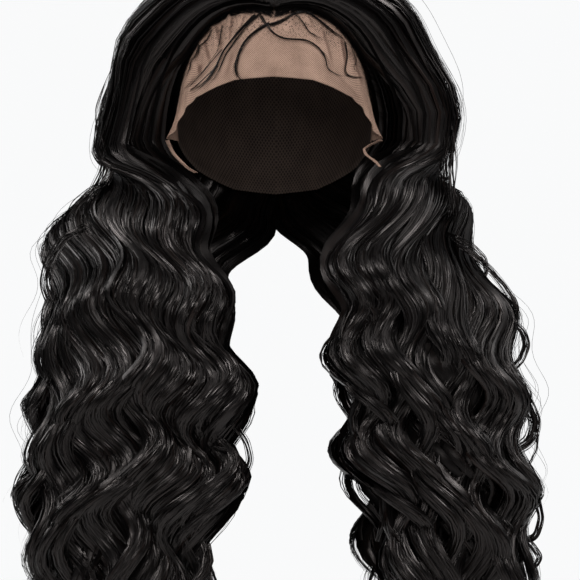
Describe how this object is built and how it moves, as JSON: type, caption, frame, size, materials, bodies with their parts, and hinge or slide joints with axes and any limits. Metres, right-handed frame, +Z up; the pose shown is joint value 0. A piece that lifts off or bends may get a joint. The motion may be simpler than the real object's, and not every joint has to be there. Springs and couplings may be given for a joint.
{
  "type": "lace front wig",
  "caption": "Long black body wave wig: a stretch cap with a sheer lace front and ear tabs, its hair parted over the crown and drawn forward in tresses on both sides.",
  "frame": {"origin": "top of the head inside the cap, where the wig sits", "axes": "+Z up through the crown, -Y out of the face, +X to the right as seen from the front"},
  "size_m": [0.3826, 0.2643, 0.5015],
  "materials": {
    "hair": "glossy black hair, soft streaks of light along the strands",
    "lace": "sheer matte tan net",
    "cap_net": "matte dark brown stretch net"
  },
  "bodies": {
    "root": {"crown_cap": "cap_net", "lace_front": "lace", "ear_tab_left": "lace", "ear_tab_right": "lace", "crown_tress_left_1": "hair", "crown_tress_left_2": "hair", "crown_tress_left_3": "hair", "crown_tress_left_4": "hair", "crown_tress_left_5": "hair", "crown_tress_left_6": "hair", "crown_tress_left_7": "hair", "crown_tress_left_8": "hair", "crown_tress_right_1": "hair", "crown_tress_right_2": "hair", "crown_tress_right_3": "hair", "crown_tress_right_4": "hair", "crown_tress_right_5": "hair", "crown_tress_right_6": "hair", "crown_tress_right_7": "hair", "crown_tress_right_8": "hair", "long_tress_left_1": "hair", "long_tress_left_2": "hair", "long_tress_left_3": "hair", "long_tress_left_4": "hair", "long_tress_left_5": "hair", "long_tress_left_6": "hair", "long_tress_left_7": "hair", "long_tress_left_8": "hair", "long_tress_right_1": "hair", "long_tress_right_2": "hair", "long_tress_right_3": "hair", "long_tress_right_4": "hair", "long_tress_right_5": "hair", "long_tress_right_6": "hair", "long_tress_right_7": "hair", "long_tress_right_8": "hair"}
  },
  "joints": []
}
